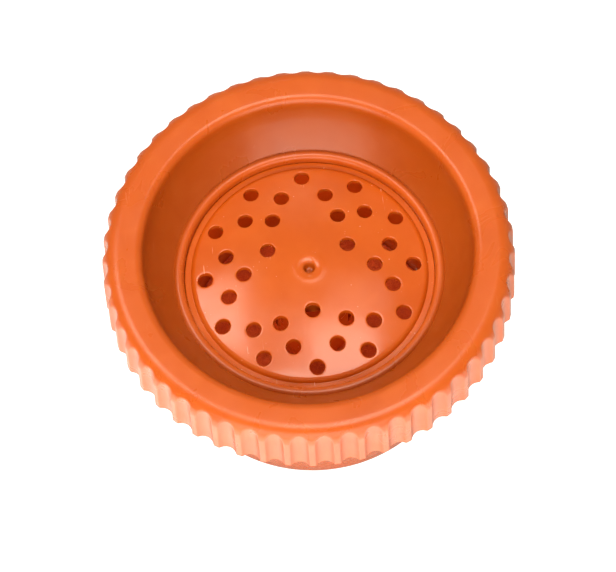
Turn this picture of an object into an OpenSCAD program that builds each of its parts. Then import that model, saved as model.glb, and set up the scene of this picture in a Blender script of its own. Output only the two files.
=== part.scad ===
// Pheromone insect trap: a small pitfall pot.
// A fluted screw cap with a rolled rim and a funnel-shaped mouth carries a domed sieve plate.
// A lure cage hangs under the plate, inside a tapered catch cup that stands on a foot ring.
// The origin is the centre of the foot, +Z is up.

/* [Whole trap] */
// Outer diameter over the flutes of the cap
cap_d = 90; // [88:1:92]
// Height from the foot to the crest of the rim
total_h = 48; // [47:0.5:56]

/* [Screw cap] */
// Number of grip flutes around the skirt
flute_count = 52; // [24:4:72]
// Depth of each grip flute
flute_depth = 1.25; // [0.6:0.05:1.4]
// Radius of the cutter that makes a flute
flute_cut_r = 2.3; // [1.8:0.1:3]
// Height of the cap from the skirt's lower edge to the crest of the rim
skirt_h = 14.7; // [14:0.1:16]
// Radius of the rounded outer shoulder of the rim
shoulder_r = 3.9; // [3:0.1:4.5]
// Width of the flat crest of the rim
crest_w = 3; // [2.6:0.1:3.4]
// Radius of the lip between the crest and the funnel
lip_r = 2.1; // [1.8:0.1:2.4]
// Slope of the funnel wall just under the lip, in degrees
wall_slope = 75; // [72:1:76]
// Slope of the funnel wall where its tight upper curve meets the wide lower one, in degrees
mid_slope = 57; // [56:1:58]
// Radius of the tight upper curve of the funnel wall, seen in section
upper_curve_r = 13.5; // [12:0.5:15]
// Radius of the wide lower curve of the funnel wall, seen in section
lower_curve_r = 48; // [42:1:60]
// Thickness of the funnel wall
cap_wall = 1.6; // [1.2:0.1:2]

/* [Sieve plate] */
// Diameter of each hole
hole_d = 3.3; // [2:0.1:3.6]
// Radius of the outermost ring of holes
hole_ring_r = 22.9; // [22:0.1:23]
// Distance from one ring of holes to the next ring inwards
hole_ring_step = 4.26; // [4.1:0.01:4.3]
// Radius of the sphere that the dome is part of
dome_r = 105; // [95:1:130]
// Thickness of the plate
plate_t = 1.5; // [1.2:0.1:2]

/* [Catch cup] */
// Diameter of the foot
base_d = 63.6; // [61:0.2:66]
// Thickness of the cup's wall
cup_wall = 1.8; // [1.4:0.1:2.2]

/* [Screw thread] */
// Rise of the thread in one turn
thread_pitch = 4; // [3.5:0.1:4.5]
// Length of each thread ridge, in turns
thread_turns = 1.25; // [0.75:0.25:1.25]

/* [Lure] */
// Outer radius of the lure cage
cage_r = 9; // [8.5:0.1:10]
// Number of vent slots around the cage
cage_slots = 8; // [4:1:10]
// Width of a vent slot
slot_w = 2.4; // [1.5:0.1:3]
// Largest radius of the rubber septum
septum_r = 5.2; // [4:0.1:5.6]

/* [Hidden] */
$fn = 128;

cap_r = cap_d / 2;
base_r = base_d / 2;
skirt_z = total_h - skirt_h;

// Rim, lip and funnel wall, from the crest inwards
crest_r = cap_r - shoulder_r;
lip_mid_r = crest_r - crest_w;
lip_mid_z = total_h - lip_r;
wall_top_r = lip_mid_r - lip_r * sin(wall_slope);
wall_top_z = lip_mid_z + lip_r * cos(wall_slope);
wall_mid_r = wall_top_r - upper_curve_r * (sin(wall_slope) - sin(mid_slope));
wall_mid_z = wall_top_z - upper_curve_r * (cos(mid_slope) - cos(wall_slope));

// Seat of the plate, with the rounded bead around it
bore_r = hole_ring_r + 4.6;
bead_r = 1.2;
bead_mid_r = bore_r + bead_r;
wall_foot_r = bead_mid_r + bead_r;
foot_slope = asin(sin(mid_slope) - (wall_mid_r - wall_foot_r) / lower_curve_r);
wall_foot_z = wall_mid_z - lower_curve_r * (cos(foot_slope) - cos(mid_slope));
bead_z = wall_foot_z - 0.85;
seat_z = bead_z - 1.9;
seat_in_r = bore_r - 1.9;
seat_t = 1.3;
plate_play = 0.05;

// Inside of the skirt and the roof over the cup's mouth
skirt_in_r = cap_r - 2.7;
roof_z = total_h - 2.4;

// Sieve plate
dome_z = total_h - 8.9;
dome_mid_z = dome_z - dome_r;
plate_edge_r = bore_r - 1.4;
plate_round = 1.5;
plate_round_r = plate_edge_r - plate_round;
plate_round_z = dome_mid_z + sqrt(pow(dome_r - plate_round, 2) - pow(plate_round_r, 2));
plate_ring_t = 1.5;
plate_flange_t = 1;
hub_r = 4;
hub_z = dome_z - 7.5;
gate_r = 2.85;
gate_hole_r = 1.2;

// Catch cup
taper_top_r = cap_r - 4;
flange_r = cap_r - 2.8;
flange_top_z = skirt_z - 1.95;
flange_t = 1.75;
taper_top_z = flange_top_z - flange_t;
neck_r = cap_r - 4.3;
neck_top_z = roof_z - 1.6;
foot_in_r = base_r - 4;
foot_recess = 0.6;
floor_z = foot_recess + cup_wall;
foot_round = 1.2;

// Thread ridges: depth, and widths at root and crest
ridge_d = 1.15;
ridge_root_w = 1.9;
ridge_crest_w = 0.9;
ridge_steps = 72;
ridge_fade = 20;
cup_ridge_z = flange_top_z + 5.2;
cap_ridge_z = cup_ridge_z - thread_pitch / 2;

// Lure cage
cage_wall = 1.3;
cage_len = 22.2;
cage_top_z = dome_z - 3.9;
cage_bottom_z = cage_top_z - cage_len;
cage_roof_t = 1.2;
socket_play = 0.04;
socket_h = cage_top_z - hub_z + 0.4;
groove_d = 0.7;
lug_h = 1.2;
lug_z = cage_bottom_z + 1.4;
lug_span = 40;
lug_play = 0.15;
cap_plug_h = 3;

// Kill pad
pad_r = base_r - 4.3;
pad_t = 2;

// Points along an arc, from angle a0 to angle a1
function arc(cx, cz, r, a0, a1, n) =
    [for (i = [0:n]) let (a = a0 + (a1 - a0) * i / n) [cx + r * cos(a), cz + r * sin(a)]];

// Part of the hollow wall's section, offset outwards by t, between two slopes.
// The curve has radius r and passes through the point (pr, pz) where its slope is ps.
function wall_curve(pr, pz, ps, r, t, from, to, n) =
    arc(pr - r * sin(ps), pz + r * cos(ps), r + t, from - 90, to - 90, n);

// The visible side of the cap in section, from the skirt inwards to the bead
function cap_top() = concat(
    arc(crest_r, total_h - shoulder_r, shoulder_r, 0, 90, 16),
    arc(lip_mid_r, lip_mid_z, lip_r, 90, 90 + wall_slope, 10),
    wall_curve(wall_top_r, wall_top_z, wall_slope, upper_curve_r, 0, wall_slope - 2, mid_slope, 6),
    wall_curve(wall_mid_r, wall_mid_z, mid_slope, lower_curve_r, 0, mid_slope - 1.5, foot_slope, 6));

// The hidden side of the funnel wall, from its foot up to the roof
function wall_under() = concat(
    wall_curve(wall_mid_r, wall_mid_z, mid_slope, lower_curve_r, cap_wall, foot_slope + 3, mid_slope, 5),
    wall_curve(wall_top_r, wall_top_z, wall_slope, upper_curve_r, cap_wall, mid_slope + 3, wall_slope, 5));

// One point of a thread ridge's section: i counts round its four corners
function ridge_point(r, out, a, z, k, i) =
    let (root = r - out * 0.4, crest = r + out * (ridge_d * k - 0.4 * (1 - k)),
         rr = (i == 0 || i == 3) ? root : crest,
         w = (i == 0 || i == 3) ? ridge_root_w : ridge_crest_w,
         dz = (i < 2) ? -w / 2 : w / 2)
    [rr * cos(a), rr * sin(a), z + dz];

// A helical ridge that grows from a wall of radius r: outwards (out = 1) or inwards (out = -1)
module thread_ridge(r, out, z0) {
    n = ceil(ridge_steps * thread_turns);
    span = 360 * thread_turns;
    points = [for (s = [0:n], i = [0:3])
        let (a = span * s / n, k = max(0.05, min(1, min(a, span - a) / ridge_fade)))
        ridge_point(r, out, a, z0 + thread_pitch * a / 360, k, i)];
    sides = [for (s = [0:n - 1], i = [0:3]) let (j = (i + 1) % 4)
        [4 * s + i, 4 * s + 4 + i, 4 * s + 4 + j, 4 * s + j]];
    tris = [for (q = sides) each [[q[0], q[1], q[2]], [q[0], q[2], q[3]]]];
    ends = [[0, 1, 2], [0, 2, 3], [4 * n, 4 * n + 2, 4 * n + 1], [4 * n, 4 * n + 3, 4 * n + 2]];
    faces = concat(tris, ends);
    polyhedron(points, out < 0 ? faces : [for (f = faces) [f[0], f[2], f[1]]]);
}

// Ring of a square section
module ring(r_out, r_in, z0, h) {
    translate([0, 0, z0]) difference() {
        cylinder(r = r_out, h = h);
        translate([0, 0, -1]) cylinder(r = r_in, h = h + 2);
    }
}

module flutes() {
    cutter_mid = cap_r - flute_depth + flute_cut_r;
    for (i = [0:flute_count - 1])
        rotate(i * 360 / flute_count)
            translate([cutter_mid, 0, skirt_z - 1])
                cylinder(r = flute_cut_r, h = total_h, $fn = 48);
}

module screw_cap() {
    seat_foot_z = seat_z - seat_t;
    color("darkorange") {
        difference() {
            rotate_extrude() polygon(concat(
                [[skirt_in_r, skirt_z], [cap_r - 0.4, skirt_z], [cap_r, skirt_z + 0.4]],
                cap_top(),
                arc(bead_mid_r, bead_z, bead_r, 30, 180, 10),
                [[bore_r, seat_z], [seat_in_r, seat_z], [seat_in_r, seat_foot_z],
                 [bore_r + 2, seat_foot_z]],
                wall_under(),
                [[wall_top_r + cap_wall + 0.6, roof_z], [skirt_in_r, roof_z]]));
            flutes();
        }
        thread_ridge(skirt_in_r, -1, cap_ridge_z);
    }
}

module hole_ring(radius, count, first_angle) {
    for (i = [0:count - 1])
        rotate(first_angle + i * 360 / count)
            translate([radius, 0, hub_z])
                cylinder(d = hole_d, h = 12, $fn = 32);
}

// The domed sheet with its upright edge and rounded shoulder
module plate_dome() {
    difference() {
        union() {
            difference() {
                intersection() {
                    translate([0, 0, dome_mid_z]) sphere(r = dome_r, $fn = 256);
                    translate([0, 0, seat_z]) cylinder(r = plate_edge_r, h = 12);
                }
                translate([0, 0, dome_mid_z]) sphere(r = dome_r - plate_t, $fn = 256);
            }
            ring(plate_edge_r, plate_edge_r - plate_ring_t, seat_z, 1.4);
        }
        rotate_extrude() polygon(concat(
            arc(plate_round_r, plate_round_z, plate_round, 2, 90 - asin(plate_round_r / dome_r), 8),
            [[plate_round_r, dome_z + 2], [bore_r + 2, dome_z + 2], [bore_r + 2, plate_round_z]]));
    }
}

module sieve_plate() {
    color("darkorange") difference() {
        union() {
            plate_dome();
            ring(bore_r - plate_play, plate_edge_r - plate_ring_t, seat_z, plate_flange_t);
            translate([0, 0, hub_z]) cylinder(r = hub_r, h = dome_z - hub_z - 1);
            translate([0, 0, dome_z - 1]) cylinder(r = gate_r, h = 1.25);
        }
        translate([0, 0, dome_z - 1.6]) cylinder(r = gate_hole_r, h = 3, $fn = 32);
        hole_ring(hole_ring_r, 12, 0);
        hole_ring(hole_ring_r - hole_ring_step, 12, 15);
        hole_ring(hole_ring_r - 2 * hole_ring_step, 6, 0);
        hole_ring(hole_ring_r - 3 * hole_ring_step, 3, 30);
    }
}

module cap_gasket() {
    color("dimgray") ring(neck_r + 0.6, neck_r - cup_wall - 0.4, neck_top_z + 0.05, 1.5);
}

module catch_cup() {
    color("darkorange") {
        rotate_extrude() polygon(concat(
            [[0, foot_recess], [foot_in_r, foot_recess], [foot_in_r + 0.6, 0]],
            arc(base_r - foot_round, foot_round, foot_round, -90, -17, 6),
            [[taper_top_r, taper_top_z], [flange_r - 0.3, taper_top_z],
             [flange_r, taper_top_z + 0.3], [flange_r, flange_top_z - 0.3],
             [flange_r - 0.3, flange_top_z], [neck_r, flange_top_z], [neck_r, neck_top_z - 0.4],
             [neck_r - 0.4, neck_top_z], [neck_r - cup_wall, neck_top_z],
             [neck_r - cup_wall, flange_top_z], [base_r - cup_wall + 0.2, floor_z + 1.6],
             [base_r - cup_wall - 1.4, floor_z], [0, floor_z]]));
        thread_ridge(neck_r, 1, cup_ridge_z);
    }
}

module kill_pad() {
    color("chocolate") translate([0, 0, floor_z]) cylinder(r = pad_r, h = pad_t);
}

// Upright slots through the wall of the cage
module vent_slots() {
    slot_z = lug_z + 4.4;
    slot_h = cage_top_z - cage_roof_t - 2.2 - slot_z;
    for (i = [0:cage_slots - 1])
        rotate((i + 0.5) * 360 / cage_slots)
            translate([cage_r - 2 * cage_wall, -slot_w / 2, slot_z])
                cube([3 * cage_wall, slot_w, slot_h]);
}

module lure_cage() {
    inner = cage_r - cage_wall;
    color("darkorange") difference() {
        union() {
            translate([0, 0, cage_bottom_z]) cylinder(r = cage_r, h = cage_len);
            translate([0, 0, hub_z + 0.4]) cylinder(r = hub_r + 1.4, h = socket_h);
        }
        difference() {
            translate([0, 0, cage_bottom_z - 1])
                cylinder(r = inner, h = cage_len - cage_roof_t + 1);
            translate([0, 0, hub_z + 0.4]) cylinder(r = hub_r + 1.4, h = socket_h);
        }
        ring(inner + groove_d, inner - 1, lug_z - lug_play, lug_h + 2 * lug_play);
        for (side = [0, 180])
            rotate(90 - lug_span / 2 - 4 + side)
                translate([0, 0, cage_bottom_z - 1])
                    rotate_extrude(angle = lug_span + 8)
                        translate([inner - 1, 0])
                            square([0.9 + groove_d, lug_z - cage_bottom_z + 1.5]);
        vent_slots();
        translate([0, 0, hub_z - 1]) cylinder(r = hub_r + socket_play, h = 10);
    }
}

module lure_septum() {
    z0 = cage_bottom_z + cap_plug_h + 0.2;
    color("slategray") rotate_extrude() polygon(concat(
        [[0, z0]], arc(septum_r - 1, z0 + 1, 1, -90, 0, 4),
        [[septum_r, z0 + 7.4], [septum_r - 0.8, z0 + 7.8], [septum_r - 0.8, z0 + 13.4],
         [septum_r - 1.2, z0 + 13.8], [2, z0 + 13.8], [1.8, z0 + 9], [0, z0 + 9]]));
}

module cage_cap() {
    plug_r = cage_r - cage_wall - 0.12;
    color("darkorange") {
        translate([0, 0, cage_bottom_z - 1.8]) cylinder(r = cage_r, h = 1.7);
        ring(plug_r, plug_r - 1.4, cage_bottom_z - 0.2, cap_plug_h);
        for (side = [0, 180])
            rotate(side - lug_span / 2)
                translate([0, 0, lug_z])
                    rotate_extrude(angle = lug_span)
                        translate([plug_r - 0.6, 0]) square([0.6 + groove_d - 0.1, lug_h]);
        translate([-1.1, -cage_r + 1.6, cage_bottom_z - 4.2]) cube([2.2, 2 * cage_r - 3.2, 2.5]);
    }
}

catch_cup();
kill_pad();
cap_gasket();
screw_cap();
sieve_plate();
lure_cage();
lure_septum();
cage_cap();
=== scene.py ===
"""Looks of the pheromone insect trap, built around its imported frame.

The visible pieces are meshes made here: turned sections with grip flutes and screw threads, and a
sieve plate with rounded holes. The CAD nodes that they replace stay for collision. Sections are
written in millimetres and scaled by MM; Blender's own values are in metres.
"""

import math

import bpy
import numpy as np
from mathutils import Matrix, Vector, noise
from mathutils.geometry import delaunay_2d_cdt


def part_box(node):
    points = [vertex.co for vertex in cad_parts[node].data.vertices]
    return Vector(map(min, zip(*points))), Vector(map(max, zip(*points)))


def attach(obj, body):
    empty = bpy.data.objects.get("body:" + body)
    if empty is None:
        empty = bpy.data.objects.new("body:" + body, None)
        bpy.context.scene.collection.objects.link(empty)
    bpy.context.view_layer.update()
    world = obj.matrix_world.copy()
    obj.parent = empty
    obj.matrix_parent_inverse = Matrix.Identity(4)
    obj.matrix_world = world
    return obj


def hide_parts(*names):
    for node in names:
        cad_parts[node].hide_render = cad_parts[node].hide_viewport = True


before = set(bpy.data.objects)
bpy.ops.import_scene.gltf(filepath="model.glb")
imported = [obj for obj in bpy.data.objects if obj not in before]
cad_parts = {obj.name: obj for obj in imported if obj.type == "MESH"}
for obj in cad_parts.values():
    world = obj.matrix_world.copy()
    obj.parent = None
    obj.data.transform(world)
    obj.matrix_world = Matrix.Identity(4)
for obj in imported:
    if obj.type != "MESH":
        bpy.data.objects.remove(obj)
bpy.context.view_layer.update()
MM = 0.001
TAU = 2 * math.pi


def node_box(name):
    """Lowest and highest corner of a CAD node, in millimetres."""
    low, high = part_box(name)
    return [v / MM for v in low], [v / MM for v in high]


# ---------------------------------------------------------------- sizes, in millimetres
# Cap: outside, rim and funnel wall
FLUTES = 52
FLUTE_DEPTH = 1.25
FLUTE_CUT_R = 2.3
FLUTE_HALF_ANGLE = 2.575
FLUTE_ROUND = 0.35
_, cap_high = node_box("screw_cap")
TOP_Z = cap_high[2]
CAP_R = cap_high[0] / math.cos(math.radians(FLUTE_HALF_ANGLE))
CAP_HEIGHT = 14.7
SKIRT_Z = TOP_Z - CAP_HEIGHT
SKIRT_IN_R = CAP_R - 2.7
ROOF_Z = TOP_Z - 2.4
SHOULDER_R = 3.9
LIP_R = 2.1
LIP_MID_R = CAP_R - SHOULDER_R - 3
WALL_T = 1.6
WALL_SLOPE = 75
MID_SLOPE = 57
UPPER_CURVE_R = 13.5
LOWER_CURVE_R = 48
BEAD_R = 1.2

# Sieve plate
plate_low, plate_high = node_box("sieve_plate")
BORE_R = plate_high[0] + 0.05
HUB_Z = plate_low[2]
HUB_R = 4.0
DOME_Z = TOP_Z - 8.9
DOME_R = 105.0
PLATE_T = 1.5
PLATE_EDGE_R = BORE_R - 1.4
PLATE_ROUND = 1.5
SHEET_R = DOME_R * (PLATE_EDGE_R - PLATE_ROUND) / (DOME_R - PLATE_ROUND)
GATE_R = 4.2
HOLE_R = 1.65
HOLE_ROUND = 0.22
HOLE_SIDES = 40
HOLE_RING_R = BORE_R - 4.6
HOLE_RING_STEP = 4.26
HOLE_RINGS = [(0, 12, 0), (1, 12, 15), (2, 6, 0), (3, 3, 30)]

# Catch cup
_, cup_high = node_box("catch_cup")
NECK_TOP_Z = cup_high[2]
FLANGE_R = CAP_R - 2.8
FLANGE_TOP_Z = SKIRT_Z - 1.95
FLANGE_T = 1.75
NECK_R = CAP_R - 4.3
CUP_WALL = 1.8
BASE_R = 31.8
FLOOR_Z = 0.6 + CUP_WALL

# Screw thread
THREAD_PITCH = 4.0
THREAD_SPAN = 450
RIDGE_DEPTH = 1.15
RIDGE_ROOT_W = 1.9
RIDGE_CREST_W = 0.9
CUP_RIDGE_Z = FLANGE_TOP_Z + 5.2
CAP_RIDGE_Z = CUP_RIDGE_Z - THREAD_PITCH / 2


# ---------------------------------------------------------------- section helpers
def arc(cx, cz, r, start, end, n):
    """Points of an arc, by its centre, radius and angles in degrees."""
    angles = np.radians(np.linspace(start, end, n + 1))
    return [(cx + r * math.cos(a), cz + r * math.sin(a)) for a in angles]


def hollow(pr, pz, slope, r, offset, start, end, n):
    """Part of a hollow curve of radius r that passes (pr, pz) at that slope, between two slopes."""
    s = math.radians(slope)
    return arc(pr - r * math.sin(s), pz + r * math.cos(s), r + offset, start - 90, end - 90, n)


def rounded_run(points, radius, n=4):
    """Points of an open run of corners with the inner ones rounded. A corner's third value, if it
    has one, is its own radius."""
    out = [points[0][:2]]
    for a, p, b in zip(points, points[1:], points[2:]):
        own = p[2] if len(p) > 2 else radius
        a, p, b = np.array(a[:2], float), np.array(p[:2], float), np.array(b[:2], float)
        la, lb = np.linalg.norm(a - p), np.linalg.norm(b - p)
        cut = min(own, 0.45 * la, 0.45 * lb)
        start, end = p + (a - p) / la * cut, p + (b - p) / lb * cut
        for t in np.linspace(0, 1, n + 1):
            q = (1 - t) ** 2 * start + 2 * t * (1 - t) * p + t * t * end
            out.append((float(q[0]), float(q[1])))
    return out + [points[-1][:2]]


def fine(points, step):
    """The closed section with its long straight runs divided."""
    out = []
    for i, p in enumerate(points):
        q = points[(i + 1) % len(points)]
        n = max(1, math.ceil(math.dist(p, q) / step))
        for k in range(n):
            out.append((p[0] + (q[0] - p[0]) * k / n, p[1] + (q[1] - p[1]) * k / n))
    return out


def distinct(points):
    """The closed section without repeated points."""
    return [p for i, p in enumerate(points) if math.dist(p, points[i - 1]) > 1e-4]


# ---------------------------------------------------------------- mesh helpers
def new_object(name, verts, faces, material, smooth_angle):
    """A mesh object in metres from vertices in millimetres, shaded smooth up to an angle."""
    mesh = bpy.data.meshes.new(name)
    mesh.from_pydata([(x * MM, y * MM, z * MM) for x, y, z in verts], [], faces)
    mesh.update()
    mesh.materials.append(material)
    obj = bpy.data.objects.new(name, mesh)
    bpy.context.collection.objects.link(obj)
    mesh.shade_smooth()
    mesh.set_sharp_from_angle(angle=math.radians(smooth_angle))
    return obj


def even_angles(count):
    return np.arange(count) * TAU / count


def turned(name, section, angles, material, warp=None, smooth_angle=40):
    """A closed section turned about the Z axis. warp(r, z, angles) gives the radii at one point."""
    cos, sin = np.cos(angles), np.sin(angles)
    count = len(angles)
    verts, rings, faces = [], [], []
    for r, z in distinct(section):
        if r < 1e-6:
            rings.append([len(verts)])
            verts.append((0.0, 0.0, z))
            continue
        radii = warp(r, z, angles) if warp else np.full(count, r)
        rings.append(range(len(verts), len(verts) + count))
        verts.extend(zip((radii * cos).tolist(), (radii * sin).tolist(), [z] * count))
    for a, b in zip(rings, rings[1:] + rings[:1]):
        for k in range(count):
            j = (k + 1) % count
            if len(a) == 1 and len(b) == 1:
                break
            if len(a) == 1:
                faces.append((a[0], b[j], b[k]))
            elif len(b) == 1:
                faces.append((a[k], a[j], b[0]))
            else:
                faces.append((a[k], a[j], b[j], b[k]))
    return new_object(name, verts, faces, material, smooth_angle)


def circle(cx, cy, r, n):
    return [(cx + r * math.cos(TAU * k / n), cy + r * math.sin(TAU * k / n)) for k in range(n)]


class Surface:
    """Collects strips and sheets of a mesh that meet point to point, and joins them."""

    def __init__(self):
        self.verts, self.faces, self.index = [], [], {}

    def face(self, points):
        ids = []
        for p in points:
            key = tuple(round(c, 4) + 0.0 for c in p)
            if key not in self.index:
                self.index[key] = len(self.verts)
                self.verts.append(p)
            if self.index[key] not in ids:
                ids.append(self.index[key])
        if len(ids) > 2:
            self.faces.append(ids)

    def strip(self, loops):
        """Quads between closed loops of equal length."""
        for a, b in zip(loops, loops[1:]):
            for k in range(len(a)):
                j = (k + 1) % len(a)
                self.face([a[k], a[j], b[j], b[k]])

    def turn(self, section, n):
        """An open section turned about the Z axis. A radius of zero closes it."""
        self.strip([[(x, y, z) for x, y in circle(0, 0, r, n)] for r, z in section])


def thread_ridge(z, angles, z0):
    """How far a helical thread ridge stands out of its wall at height z, for each angle."""
    height = np.zeros_like(angles)
    for turn in (0, 360):
        along = np.degrees(angles) + turn
        fade = np.clip(np.minimum(along, THREAD_SPAN - along) / 20, 0, 1)
        away = np.abs(z - (z0 + THREAD_PITCH * along / 360))
        flank = np.clip((RIDGE_ROOT_W / 2 - away) * 2 / (RIDGE_ROOT_W - RIDGE_CREST_W), 0, 1)
        height = np.maximum(height, RIDGE_DEPTH * fade * flank * flank * (3 - 2 * flank))
    return height


# ---------------------------------------------------------------- funnel geometry
def funnel_points():
    """Where the funnel wall starts, bends and ends, and the heights of the bead and the seat."""
    top, mid = math.radians(WALL_SLOPE), math.radians(MID_SLOPE)
    top_r = LIP_MID_R - LIP_R * math.sin(top)
    top_z = TOP_Z - LIP_R + LIP_R * math.cos(top)
    mid_r = top_r - UPPER_CURVE_R * (math.sin(top) - math.sin(mid))
    mid_z = top_z - UPPER_CURVE_R * (math.cos(mid) - math.cos(top))
    foot = math.asin(math.sin(mid) - (mid_r - BORE_R - 2 * BEAD_R) / LOWER_CURVE_R)
    foot_z = mid_z - LOWER_CURVE_R * (math.cos(foot) - math.cos(mid))
    return (top_r, top_z), (mid_r, mid_z), math.degrees(foot), foot_z


WALL_TOP, WALL_MID, FOOT_SLOPE, FOOT_Z = funnel_points()
BEAD_Z = FOOT_Z - 0.85
SEAT_Z = BEAD_Z - 1.9


# ---------------------------------------------------------------- screw cap
def flute_limit(angles):
    """Largest radius that the grip flutes leave at each angle."""
    pitch = TAU / FLUTES
    off = (angles + pitch / 2) % pitch - pitch / 2
    centre = CAP_R - FLUTE_DEPTH + FLUTE_CUT_R
    inside = FLUTE_CUT_R ** 2 - (centre * np.sin(off)) ** 2
    cut = centre * np.cos(off) - np.sqrt(np.maximum(inside, 0))
    return np.where(inside > 0, cut, CAP_R + 3)


def soft_min(a, b, width):
    """The smaller of two values, with the corner between them rounded off."""
    blend = np.clip(0.5 + 0.5 * (b - a) / width, 0, 1)
    return a * blend + b * (1 - blend) - width * blend * (1 - blend)


def cap_section():
    outside = (
        rounded_run([(SKIRT_IN_R, SKIRT_Z), (CAP_R, SKIRT_Z), (CAP_R, SKIRT_Z + 4)], 0.4)
        + arc(LIP_MID_R + 3, TOP_Z - SHOULDER_R, SHOULDER_R, 0, 90, 26)
        + arc(LIP_MID_R, TOP_Z - LIP_R, LIP_R, 90, 90 + WALL_SLOPE, 14)
        + hollow(*WALL_TOP, WALL_SLOPE, UPPER_CURVE_R, 0, WALL_SLOPE - 1.2, MID_SLOPE, 10)
        + hollow(*WALL_MID, MID_SLOPE, LOWER_CURVE_R, 0, MID_SLOPE - 0.5, FOOT_SLOPE, 10)
        + arc(BORE_R + BEAD_R, BEAD_Z, BEAD_R, 34, 180, 16)
    )
    under = (
        hollow(*WALL_MID, MID_SLOPE, LOWER_CURVE_R, WALL_T, FOOT_SLOPE + 3, MID_SLOPE, 6)
        + hollow(*WALL_TOP, WALL_SLOPE, UPPER_CURVE_R, WALL_T, MID_SLOPE + 3, WALL_SLOPE, 6)
        + [(WALL_TOP[0] + WALL_T + 0.6, ROOF_Z), (SKIRT_IN_R - 0.4, ROOF_Z),
           (SKIRT_IN_R, ROOF_Z - 0.4)]
    )
    seat = rounded_run([(BORE_R, BEAD_Z), (BORE_R, SEAT_Z), (BORE_R - 1.9, SEAT_Z),
                        (BORE_R - 1.9, SEAT_Z - 1.3), (BORE_R + 2, SEAT_Z - 1.3), under[0]], 0.25)
    bore = [(SKIRT_IN_R, z) for z in np.arange(CAP_RIDGE_Z + 6.3, SKIRT_Z + 0.5, -0.3)]
    return outside + seat + under + bore


def flute_angles():
    """Angles closer together along the two edges of every flute."""
    half = [0.9, 1.6, 2.1, 2.4, FLUTE_HALF_ANGLE, 2.75, 3.0]
    pitch = 360 / FLUTES
    one = [0] + half + [pitch / 2] + [pitch - a for a in reversed(half)]
    return np.radians([i * pitch + a for i in range(FLUTES) for a in one])


def make_cap(material):
    def warp(r, z, angles):
        if abs(r - SKIRT_IN_R) < 0.01 and z < CAP_RIDGE_Z + 6.4:
            return r - thread_ridge(z, angles, CAP_RIDGE_Z)
        if r > CAP_R - FLUTE_DEPTH - 0.6:
            return soft_min(np.full_like(angles, r), flute_limit(angles), FLUTE_ROUND)
        return np.full_like(angles, r)

    return turned("cap_moulding", cap_section(), flute_angles(), material, warp, 50)


# ---------------------------------------------------------------- sieve plate
def dome_height(x, y):
    """Height of the plate's upper side."""
    return DOME_Z - DOME_R + math.sqrt(DOME_R ** 2 - x * x - y * y)


def hole_centres():
    for ring, count, first in HOLE_RINGS:
        radius = HOLE_RING_R - ring * HOLE_RING_STEP
        for i in range(count):
            a = math.radians(first + 360 * i / count)
            yield radius * math.cos(a), radius * math.sin(a)


def perforated_sheet(step=0.9):
    """Flat triangles between the gate and the shoulder, with the holes left out."""
    centres, rim = list(hole_centres()), HOLE_R + HOLE_ROUND
    loops = [circle(0, 0, GATE_R, 96), circle(0, 0, SHEET_R, 288)]
    loops += [circle(x, y, rim, HOLE_SIDES) for x, y in centres]
    points, edges = [], []
    for loop in loops:
        first, n = len(points), len(loop)
        points += loop
        edges += [(first + k, first + (k + 1) % n) for k in range(n)]
    for x, y in centres:
        points += [p for p in circle(x, y, rim + 0.3, 30) if math.hypot(*p) < SHEET_R - 0.12]
    rings = round((SHEET_R - GATE_R) / step)
    for ring in range(1, rings):
        r = GATE_R + ring * (SHEET_R - GATE_R) / rings
        for x, y in circle(0, 0, r, int(TAU * r / step)):
            if all(math.hypot(x - cx, y - cy) > rim + 0.7 for cx, cy in centres):
                points.append((x, y))
    found = delaunay_2d_cdt([Vector(p) for p in points], edges, [], 0, 1e-6)
    faces = []
    for face in found[2]:
        corners = [points[found[3][i][0]] for i in face]
        x, y = sum(p[0] for p in corners) / 3, sum(p[1] for p in corners) / 3
        if not GATE_R * 0.999 < math.hypot(x, y) < SHEET_R:
            continue
        if any(math.hypot(x - cx, y - cy) < rim * 0.995 for cx, cy in centres):
            continue
        (ax, ay), (bx, by), (cx, cy) = corners
        if (bx - ax) * (cy - ay) < (by - ay) * (cx - ax):
            corners.reverse()
        faces.append(corners)
    return faces


def hole_wall():
    """(depth below the upper side, radius added to the hole) down one hole's wall."""
    top = [(HOLE_ROUND * (1 - math.cos(a)), HOLE_ROUND * (1 - math.sin(a)))
           for a in np.radians([0, 22.5, 45, 67.5, 90])]
    foot = [(PLATE_T - depth, spread) for depth, spread in reversed(top)]
    return top + [(PLATE_T / 2, 0.0)] + foot


def gate_section():
    """The gate mark from its rim inwards: a low ring, a dished middle and a deep pip."""
    heights = [(GATE_R, 0.0), (3.9, 0.01), (3.5, 0.04), (3.2, 0.07), (2.95, 0.085), (2.7, 0.08),
               (2.4, 0.05), (2.0, -0.02), (1.7, -0.1), (1.4, -0.22), (1.25, -0.36), (1.15, -0.6),
               (1.05, -1.0), (0.95, -1.4), (0.85, -1.7), (0.65, -1.82), (0.35, -1.85), (0, -1.85)]
    return [(r, dome_height(r, 0) + h) for r, h in heights]


def plate_edge_section():
    """From the underside round the edge ring and the flange up to the shoulder."""
    mid_r = PLATE_EDGE_R - PLATE_ROUND
    mid_z = DOME_Z - DOME_R + math.sqrt((DOME_R - PLATE_ROUND) ** 2 - mid_r ** 2)
    tangent = 90 - math.degrees(math.asin(SHEET_R / DOME_R))
    flange_z = SEAT_Z + 1
    shoulder = arc(mid_r, mid_z, PLATE_ROUND, 20, tangent, 12)
    flange = rounded_run([(SHEET_R, dome_height(SHEET_R, 0) - PLATE_T), (SHEET_R, SEAT_Z),
                          (BORE_R - 0.06, SEAT_Z), (BORE_R - 0.06, flange_z),
                          (PLATE_EDGE_R, flange_z), shoulder[0]], 0.2)
    return flange + shoulder[1:-1] + [(SHEET_R, dome_height(SHEET_R, 0))]


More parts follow.
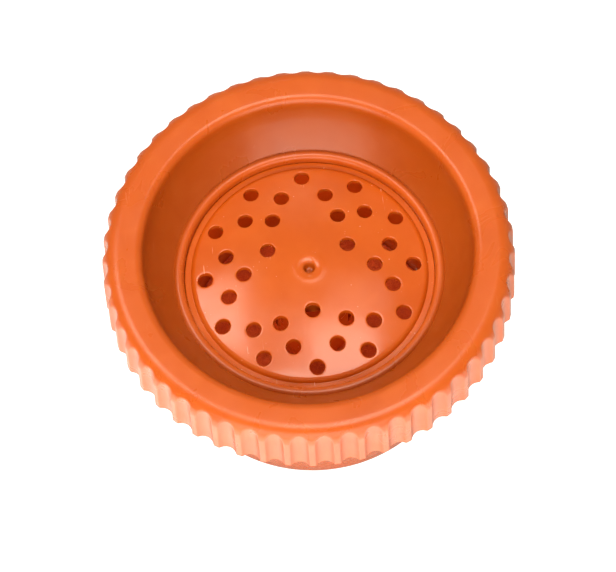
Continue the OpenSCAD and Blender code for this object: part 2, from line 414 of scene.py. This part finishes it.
def make_plate(material):
    surface = Surface()
    for corners in perforated_sheet():
        surface.face([(x, y, dome_height(x, y)) for x, y in corners])
        surface.face([(x, y, dome_height(x, y) - PLATE_T) for x, y in reversed(corners)])
    for cx, cy in hole_centres():
        surface.strip([[(x, y, dome_height(x, y) - depth)
                        for x, y in circle(cx, cy, HOLE_R + spread, HOLE_SIDES)]
                       for depth, spread in hole_wall()])
    surface.turn(gate_section(), 96)
    under = dome_height(GATE_R, 0) - PLATE_T
    surface.turn(rounded_run([(0, HUB_Z), (HUB_R, HUB_Z), (HUB_R, under - 0.2),
                              (GATE_R, under)], 0.25), 96)
    surface.turn(plate_edge_section(), 288)
    return new_object("sieve_disc", surface.verts, surface.faces, material, 50)


# ---------------------------------------------------------------- catch cup and small parts
def cup_section():
    taper_top_z = FLANGE_TOP_Z - FLANGE_T
    foot_in = BASE_R - 4
    outer = rounded_run(
        [(0, 0.6), (foot_in, 0.6, 0.3), (foot_in + 0.6, 0, 0.2), (BASE_R, 0, 1.6),
         (CAP_R - 4, taper_top_z, 0.5), (FLANGE_R, taper_top_z, 0.4),
         (FLANGE_R, FLANGE_TOP_Z, 0.4), (NECK_R, FLANGE_TOP_Z, 0.3),
         (NECK_R, FLANGE_TOP_Z + 2)], 0.3, 5)
    neck = [(NECK_R, z) for z in np.arange(FLANGE_TOP_Z + 2.3, NECK_TOP_Z - 1, 0.3)]
    inner = rounded_run(
        [(NECK_R, NECK_TOP_Z - 0.9), (NECK_R, NECK_TOP_Z, 0.5),
         (NECK_R - CUP_WALL, NECK_TOP_Z, 0.5), (NECK_R - CUP_WALL, FLANGE_TOP_Z, 1.5),
         (BASE_R - CUP_WALL + 0.2, FLOOR_Z + 1.6, 1), (BASE_R - CUP_WALL - 1.4, FLOOR_Z, 1),
         (0, FLOOR_Z)], 0.5, 5)
    return fine(outer + neck + inner, 1.8)


def make_cup(material):
    def warp(r, z, angles):
        if abs(r - NECK_R) < 0.01:
            return r + thread_ridge(z, angles, CUP_RIDGE_Z)
        return np.full_like(angles, r)

    return turned("cup_moulding", cup_section(), even_angles(360), material, warp, 50)


def make_gasket(material):
    low, high = node_box("cap_gasket")
    outer, inner = high[0], NECK_R - CUP_WALL - 0.4
    middle, height = (outer + inner) / 2, (low[2] + high[2]) / 2
    section = rounded_run([(middle, low[2]), (outer, low[2]), (outer, high[2]), (inner, high[2]),
                           (inner, low[2]), (middle - 0.01, low[2])], 0.35, 5)
    gasket = turned("gasket_ring", fine(section, 0.5), even_angles(288), material)
    roughen(gasket, 0.04, 900, height)
    return gasket


def roughen(obj, amount, scale, seed):
    """Moves each vertex along its normal by up to amount millimetres, the same way every run."""
    shift = Vector((seed, 2 * seed, 3 * seed))
    moved = [v.co + v.normal * (noise.noise(v.co * scale + shift) - 0.5) * amount * MM
             for v in obj.data.vertices]
    for vertex, place in zip(obj.data.vertices, moved):
        vertex.co = place
    obj.data.update()


def make_pad(material):
    low, high = node_box("kill_pad")
    radius, bottom, top = high[0] - 0.2, low[2] + 0.02, high[2] - 0.1
    section = rounded_run([(0, bottom), (radius, bottom, 0.5), (radius, top, 0.8), (0, top)], 0.5)
    pad = turned("felt_pad", fine(section, 0.6), even_angles(220), material, None, 80)
    roughen(pad, 0.3, 420, 7)
    return pad


def make_septum(material):
    low, high = node_box("lure_septum")
    radius, z0 = high[0], low[2]
    section = rounded_run(
        [(0, z0), (radius, z0, 1.0), (radius, z0 + 7.4, 0.4), (radius - 0.8, z0 + 7.8, 0.4),
         (radius - 0.8, z0 + 13.8, 0.6), (2, z0 + 13.8, 0.4), (1.8, z0 + 9, 0.8), (0, z0 + 9)],
        0.4, 6)
    septum = turned("rubber_septum", fine(section, 0.6), even_angles(96), material, None, 50)
    roughen(septum, 0.03, 1500, 3)
    return septum


# ---------------------------------------------------------------- materials
class Nodes:
    """A material's node tree with short calls for the nodes used here."""

    def __init__(self, name):
        self.material = bpy.data.materials.new(name)
        self.material.use_nodes = True
        self.tree = self.material.node_tree
        self.shader = self.tree.nodes["Principled BSDF"]
        self.coords = self.tree.nodes.new("ShaderNodeTexCoord").outputs["Object"]

    def link(self, source, target):
        self.tree.links.new(source, target)

    def place(self, stretch):
        """Object coordinates, stretched."""
        node = self.tree.nodes.new("ShaderNodeMapping")
        node.inputs["Scale"].default_value = stretch
        self.link(self.coords, node.inputs["Vector"])
        return node.outputs["Vector"]

    def noise(self, scale, detail=3, distortion=0.0, coords=None, rough=0.5):
        node = self.tree.nodes.new("ShaderNodeTexNoise")
        node.inputs["Scale"].default_value = scale
        node.inputs["Detail"].default_value = detail
        node.inputs["Roughness"].default_value = rough
        node.inputs["Distortion"].default_value = distortion
        self.link(coords or self.coords, node.inputs["Vector"])
        return node.outputs["Fac"]

    def voronoi(self, scale):
        node = self.tree.nodes.new("ShaderNodeTexVoronoi")
        node.inputs["Scale"].default_value = scale
        self.link(self.coords, node.inputs["Vector"])
        return node.outputs["Distance"]

    def spread(self, value, low, high, to_low=0.0, to_high=1.0):
        """Maps low..high to to_low..to_high, clamped."""
        node = self.tree.nodes.new("ShaderNodeMapRange")
        for socket, number in zip(("From Min", "From Max", "To Min", "To Max"),
                                  (low, high, to_low, to_high)):
            node.inputs[socket].default_value = number
        self.link(value, node.inputs["Value"])
        return node.outputs["Result"]

    def math(self, operation, a, b):
        node = self.tree.nodes.new("ShaderNodeMath")
        node.operation = operation
        for socket, value in zip(node.inputs, (a, b)):
            if isinstance(value, (int, float)):
                socket.default_value = value
            else:
                self.link(value, socket)
        return node.outputs[0]

    def ring(self, inner, outer, soft=0.45):
        """One between two radii around the Z axis, in millimetres, and zero elsewhere."""
        node = self.tree.nodes.new("ShaderNodeVectorMath")
        node.operation = "LENGTH"
        self.link(self.place((1 / MM, 1 / MM, 0)), node.inputs[0])
        radius = node.outputs["Value"]
        return self.math("MULTIPLY", self.spread(radius, inner - soft, inner + soft),
                         self.spread(radius, outer - soft, outer + soft, 1, 0))

    def mix(self, factor, a, b, blend="MIX"):
        """Mixes two colours, each a tuple or a socket."""
        node = self.tree.nodes.new("ShaderNodeMix")
        node.data_type, node.blend_type = "RGBA", blend
        if isinstance(factor, (int, float)):
            node.inputs["Factor"].default_value = factor
        else:
            self.link(factor, node.inputs["Factor"])
        for socket, value in ((node.inputs[6], a), (node.inputs[7], b)):
            if isinstance(value, tuple):
                socket.default_value = (*value, 1)
            else:
                self.link(value, socket)
        return node.outputs[2]

    def bump(self, height, strength, distance, below=None):
        node = self.tree.nodes.new("ShaderNodeBump")
        node.inputs["Strength"].default_value = strength
        node.inputs["Distance"].default_value = distance * MM
        self.link(height, node.inputs["Height"])
        if below is not None:
            self.link(below, node.inputs["Normal"])
        return node.outputs["Normal"]

    def finish(self, colour, roughness, normal, **constants):
        """Links what varies to the shader, and sets what doesn't on its own sockets."""
        self.link(colour, self.shader.inputs["Base Color"])
        self.link(roughness, self.shader.inputs["Roughness"])
        self.link(normal, self.shader.inputs["Normal"])
        for key, value in constants.items():
            self.shader.inputs[key.replace("_", " ")].default_value = value
        return self.material


# Colours, linear
ORANGE = (0.5, 0.083, 0.005)
ORANGE_DEEP = (0.41, 0.059, 0.003)
ORANGE_PALE = (0.6, 0.13, 0.022)
# Painted shade: how much darker the colour is made, and between which radii it is painted on the
# cap's funnel wall and in the plate's gate pit
PAINTED_SHADE = 0.73
PAINTED_SHADE_WALL = (28.8, 36.2)
PAINTED_SHADE_PIT = (-1, 1.2)
SCUFF_COLOUR = (0.93, 0.5, 0.32)


def orange_plastic(name, scuffs, gloss, painted_shade_radii=None):
    """Glossy, slightly translucent moulded polypropylene. scuffs is from 0 to 1.
    painted_shade_radii has the two radii, in millimetres, between which the colour is darkened as
    painted shade."""
    n = Nodes(name)
    flow = n.noise(38, 3, 1.2)
    cloud = n.noise(160, 4, 0.6)
    colour = n.mix(n.spread(flow, 0.3, 0.72, 0, 0.55), ORANGE, ORANGE_DEEP)
    colour = n.mix(n.spread(cloud, 0.45, 0.8, 0, 0.22), colour, ORANGE_PALE)
    # Painted shade: the colour is made darker between the two radii, on the cap's funnel wall and
    # in the gate pit
    if painted_shade_radii:
        dark = n.mix(1.0, colour, (PAINTED_SHADE,) * 3, "MULTIPLY")
        colour = n.mix(n.ring(*painted_shade_radii), colour, dark)
    scratch = n.noise(1500, 2, 0.0, n.place((1, 0.06, 0.4)))
    scratch = n.spread(scratch, 0.72, 0.78)
    speck = n.spread(n.voronoi(650), 0.05, 0.11, 1, 0)
    speck = n.math("MULTIPLY", speck, n.spread(cloud, 0.5, 0.62))
    marks = n.math("MULTIPLY", n.math("MAXIMUM", scratch, speck), scuffs)
    colour = n.mix(n.math("MULTIPLY", marks, 0.55), colour, SCUFF_COLOUR)
    rough = n.spread(n.noise(90, 4, 0.8), 0.3, 0.75, gloss, gloss + 0.13)
    rough = n.math("ADD", rough, n.math("MULTIPLY", marks, 0.3))
    peel = n.bump(n.noise(620, 2), 0.35, 0.02)
    waves = n.bump(n.noise(95, 2, 0.5), 0.3, 0.16, peel)
    normal = n.bump(marks, 0.4, 0.03, waves)
    return n.finish(colour, rough, normal, Subsurface_Weight=0.1, Subsurface_Scale=0.002,
                    Subsurface_Radius=(1.0, 0.25, 0.06), IOR=1.49)


def foam_rubber(name):
    n = Nodes(name)
    cells = n.voronoi(2600)
    cloud = n.noise(300, 4)
    colour = n.mix(n.spread(cloud, 0.3, 0.75), (0.012, 0.012, 0.013), (0.034, 0.033, 0.032))
    colour = n.mix(n.spread(cells, 0.25, 0.6, 0, 0.5), colour, (0.05, 0.05, 0.05))
    rough = n.spread(cloud, 0.2, 0.8, 0.62, 0.85)
    normal = n.bump(cells, 0.7, 0.09, n.bump(cloud, 0.4, 0.1))
    return n.finish(colour, rough, normal, IOR=1.5)


def butyl_rubber(name):
    n = Nodes(name)
    cloud = n.noise(350, 5, 0.5)
    dust = n.spread(n.noise(1300, 3), 0.58, 0.7)
    colour = n.mix(n.spread(cloud, 0.3, 0.7), (0.13, 0.14, 0.15), (0.2, 0.21, 0.215))
    colour = n.mix(n.math("MULTIPLY", dust, 0.4), colour, (0.42, 0.42, 0.4))
    rough = n.spread(cloud, 0.25, 0.75, 0.5, 0.72)
    normal = n.bump(n.noise(2600, 3), 0.5, 0.04, n.bump(cloud, 0.3, 0.1))
    return n.finish(colour, rough, normal, IOR=1.52)


def pressed_felt(name):
    n = Nodes(name)
    fibre = n.noise(1500, 6, 2.5, n.place((1, 0.35, 1)), 0.65)
    across = n.noise(1500, 6, 2.5, n.place((0.3, 1, 1)), 0.65)
    both = n.math("MAXIMUM", fibre, across)
    cloud = n.noise(90, 4)
    colour = n.mix(n.spread(both, 0.42, 0.75), (0.42, 0.055, 0.012), (0.68, 0.15, 0.04))
    colour = n.mix(n.spread(cloud, 0.45, 0.8, 0, 0.45), colour, (0.5, 0.08, 0.015))
    rough = n.spread(both, 0.3, 0.8, 0.8, 0.97)
    normal = n.bump(both, 0.9, 0.25, n.bump(cloud, 0.4, 0.5))
    return n.finish(colour, rough, normal, Sheen_Weight=0.25, Specular_IOR_Level=0.2)


# ---------------------------------------------------------------- stage, lights and camera
# Radiance of the floor to the camera, and as a light to dull and to glossy surfaces
FLOOR_WHITE = 0.9
TABLE_LIGHT = 2.4
TABLE_GLARE = 3.4
# The floor's glare starts outside these distances from the axis, in metres
GLARE_START, GLARE_FULL = 0.043, 0.058
# Radiance of the world as a light to dull and to glossy surfaces
WORLD_LIGHT = 0.06
WORLD_GLARE = 0.38
# Lamps: distance from the trap in metres, colour, and the small ones inside the cup
LIGHT_DISTANCE = 1.3
LAMP_TINT = (1.0, 0.95, 0.82)
GLOW_LAMPS = 6
GLOW_WATTS = 0.003
GLOW_TINT = (1.0, 0.55, 0.3)
GLOW_RING_R, GLOW_HEIGHT, GLOW_SIZE = 0.023, 0.02, 0.004
# Camera: directions in degrees, distance in metres, lens and sensor in millimetres
CAMERA_AZIMUTH, CAMERA_ELEVATION, CAMERA_ROLL = -90.7, 65, -4
CAMERA_DISTANCE = 1.342
CAMERA_LENS, CAMERA_SENSOR = 358, 36
# Where it aims: below the top of the plate, then to the left and down in its own view
AIM_BELOW_DOME, AIM_LEFT, AIM_DOWN = 2.5, 0.33, 3.11


def floor_material():
    """A white sheet. It looks even to the camera, and as a light it is bright in front of the trap
    and dim behind it."""
    n = Nodes("studio_floor")
    grain = n.noise(14, 2)
    colour = n.mix(n.spread(grain, 0.3, 0.7), (0.4, 0.4, 0.4), (0.43, 0.43, 0.43))
    axes = n.tree.nodes.new("ShaderNodeSeparateXYZ")
    n.link(n.coords, axes.inputs[0])
    path = n.tree.nodes.new("ShaderNodeLightPath")
    toward = n.math("ADD", n.math("MULTIPLY", axes.outputs["X"], -0.3),
                    n.math("MULTIPLY", axes.outputs["Y"], -0.9))
    strength = n.spread(path.outputs["Is Glossy Ray"], 0, 1, TABLE_LIGHT, TABLE_GLARE)
    lit = n.math("MULTIPLY", n.spread(toward, -0.03, 0.1), strength)
    away = n.tree.nodes.new("ShaderNodeVectorMath")
    away.operation = "LENGTH"
    n.link(n.coords, away.inputs[0])
    near = n.math("MAXIMUM", n.spread(away.outputs["Value"], GLARE_START, GLARE_FULL),
                  n.math("SUBTRACT", 1.0, path.outputs["Is Glossy Ray"]))
    lit = n.math("MULTIPLY", lit, near)
    seen = path.outputs["Is Camera Ray"]
    n.link(n.mix(seen, LAMP_TINT, (1, 1, 1)), n.shader.inputs["Emission Color"])
    radiance = n.math("ADD", n.math("MULTIPLY", n.math("SUBTRACT", 1.0, seen), lit),
                      n.math("MULTIPLY", seen, FLOOR_WHITE))
    n.link(radiance, n.shader.inputs["Emission Strength"])
    return n.finish(colour, n.spread(grain, 0, 1, 0.85, 0.95), n.bump(grain, 0.02, 0.1),
                    Specular_IOR_Level=0.1)


def make_floor():
    half, rise = 1.8, 0.5
    ys = [-half, half, half + 0.2, half + 0.35, half + 0.4]
    zs = [0, 0, 0.05, 0.2, rise]
    verts = [(x / MM, y / MM, (z - 0.0002) / MM) for y, z in zip(ys, zs) for x in (-half, half)]
    faces = [(2 * i, 2 * i + 1, 2 * i + 3, 2 * i + 2) for i in range(len(ys) - 1)]
    new_object("studio_floor", verts, faces, floor_material(), 60)


def light_object(name, light, place):
    obj = bpy.data.objects.new(name, light)
    obj.location = place
    bpy.context.collection.objects.link(obj)
    return obj


def lit_rectangle(name, width, height, radiance):
    light = bpy.data.lights.new(name, "AREA")
    light.shape = "RECTANGLE"
    light.size, light.size_y = width, height
    light.energy = radiance * math.pi * width * height
    light.color = LAMP_TINT
    return light


def panel(name, across, back, radiance, diffuse=True, glossy=True):
    """A level panel of light above the trap. across and back are its limits in degrees from
    upright, seen from the trap: to the right, and away from the viewer."""
    x0, x1 = (LIGHT_DISTANCE * math.tan(math.radians(v)) for v in across)
    y0, y1 = (LIGHT_DISTANCE * math.tan(math.radians(v)) for v in back)
    lamp = light_object(name, lit_rectangle(name, x1 - x0, y1 - y0, radiance),
                        ((x0 + x1) / 2, (y0 + y1) / 2, LIGHT_DISTANCE + TOP_Z * MM))
    lamp.visible_diffuse, lamp.visible_glossy = diffuse, glossy


def front_box(name, across, up, radiance):
    """A softbox on the viewer's side. across and up are its limits in degrees, seen from the
    trap: to the right, and above the level."""
    azimuth, elevation = (math.radians(sum(v) / 2) for v in (across, up))
    width, height = (2 * LIGHT_DISTANCE * math.tan(math.radians(v[1] - v[0]) / 2)
                     for v in (across, up))
    toward = Vector((math.cos(elevation) * math.sin(azimuth),
                     -math.cos(elevation) * math.cos(azimuth), math.sin(elevation)))
    box = light_object(name, lit_rectangle(name, width, height, radiance),
                       toward * LIGHT_DISTANCE + Vector((0, 0, TOP_Z * MM)))
    box.rotation_euler = toward.to_track_quat("Z", "Y").to_euler()


def inner_glow():
    """Small lamps in the cup, for the light that real translucent walls let through."""
    for i in range(GLOW_LAMPS):
        a = TAU * (i + 0.5) / GLOW_LAMPS
        light = bpy.data.lights.new(f"glow_{i}", "POINT")
        light.energy, light.color = GLOW_WATTS, GLOW_TINT
        light.shadow_soft_size = GLOW_SIZE
        place = (GLOW_RING_R * math.cos(a), GLOW_RING_R * math.sin(a), GLOW_HEIGHT)
        lamp = light_object(f"glow_{i}", light, place)
        lamp.visible_camera = lamp.visible_glossy = False


def make_world():
    """White behind the floor for the camera, and nearly dark as a light."""
    world = bpy.data.worlds.new("studio")
    world.use_nodes = True
    tree = world.node_tree
    white = tree.nodes["Background"]
    white.inputs["Color"].default_value = (1, 1, 1, 1)
    white.inputs["Strength"].default_value = 1.0
    dim = tree.nodes.new("ShaderNodeBackground")
    dim.inputs["Color"].default_value = (1, 1, 1, 1)
    path = tree.nodes.new("ShaderNodeLightPath")
    strength = tree.nodes.new("ShaderNodeMapRange")
    strength.inputs["To Min"].default_value = WORLD_LIGHT
    strength.inputs["To Max"].default_value = WORLD_GLARE
    tree.links.new(path.outputs["Is Glossy Ray"], strength.inputs["Value"])
    tree.links.new(strength.outputs["Result"], dim.inputs["Strength"])
    seen = path.outputs["Is Camera Ray"]
    mixed = tree.nodes.new("ShaderNodeMixShader")
    tree.links.new(seen, mixed.inputs[0])
    tree.links.new(dim.outputs[0], mixed.inputs[1])
    tree.links.new(white.outputs[0], mixed.inputs[2])
    tree.links.new(mixed.outputs[0], tree.nodes["World Output"].inputs["Surface"])
    bpy.context.scene.world = world


def make_lights():
    # Three keys for dull light, then what the glossy plastic reflects, then two softboxes in front
    panel("key_above", (-17, -1), (-2, 14), 35.0, glossy=False)
    panel("key_behind", (-10, 10), (40, 52), 24.0, glossy=False)
    panel("key_in_front", (-12, 8), (-52, -40), 32.0, glossy=False)
    panel("panel_middle", (-12, 16), (-14, 11), 7.0, diffuse=False)
    panel("panel_left", (-36, -17), (4, 26), 7.6, diffuse=False)
    panel("panel_right", (5, 20), (12, 22), 2.0, diffuse=False)
    front_box("box_high", (-40, 26), (28, 40), 4.4)
    front_box("box_low", (-40, 26), (4, 26), 3.5)
    inner_glow()
    make_world()
    bpy.context.scene.view_settings.view_transform = "Standard"


def make_camera():
    """The photograph's view: from 65 degrees above, a long lens, rolled four degrees."""
    azimuth, elevation, roll = (math.radians(v) for v in (CAMERA_AZIMUTH, CAMERA_ELEVATION,
                                                          CAMERA_ROLL))
    back = Vector((math.cos(elevation) * math.cos(azimuth),
                   math.cos(elevation) * math.sin(azimuth), math.sin(elevation)))
    level = Vector((0, 0, 1)).cross(back).normalized()
    upright = back.cross(level)
    right = level * math.cos(roll) + upright * math.sin(roll)
    up = upright * math.cos(roll) - level * math.sin(roll)
    plate_centre = Vector((0, 0, (DOME_Z - AIM_BELOW_DOME) * MM))
    aim = plate_centre - right * AIM_LEFT * MM - up * AIM_DOWN * MM
    camera = bpy.data.cameras.new("camera")
    camera.lens, camera.sensor_width = CAMERA_LENS, CAMERA_SENSOR
    camera.clip_start, camera.clip_end = 0.1, 10
    obj = bpy.data.objects.new("camera", camera)
    axes = Matrix((right, up, back)).transposed().to_4x4()
    obj.matrix_world = Matrix.Translation(aim + back * CAMERA_DISTANCE) @ axes
    bpy.context.collection.objects.link(obj)
    bpy.context.scene.camera = obj


# ---------------------------------------------------------------- assembly
def add(piece, node, body):
    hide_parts(node)
    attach(piece, body)
    return piece


def repaint(node, material):
    """Gives a CAD node that stays visible its finished material."""
    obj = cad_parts[node]
    obj.data.materials.clear()
    obj.data.materials.append(material)


make_camera()
make_lights()
make_floor()
# The cap's funnel wall gets painted shade in its colour
add(make_cap(orange_plastic("cap_plastic", 0.08, 0.25, PAINTED_SHADE_WALL)), "screw_cap", "cap")
# The plate's gate pit gets painted shade in its colour
add(make_plate(orange_plastic("plate_plastic", 0.8, 0.12, PAINTED_SHADE_PIT)), "sieve_plate", "plate")
add(make_cup(orange_plastic("cup_plastic", 0.1, 0.18)), "catch_cup", "cup")
add(make_gasket(foam_rubber("gasket_rubber")), "cap_gasket", "gasket")
pad = add(make_pad(pressed_felt("pad_felt")), "kill_pad", "cup")
add(make_septum(butyl_rubber("septum_rubber")), "lure_septum", "plate")
cage_material = orange_plastic("cage_plastic", 0.3, 0.2)
repaint("lure_cage", cage_material)
repaint("cage_cap", cage_material)

bpy.context.view_layer.update()
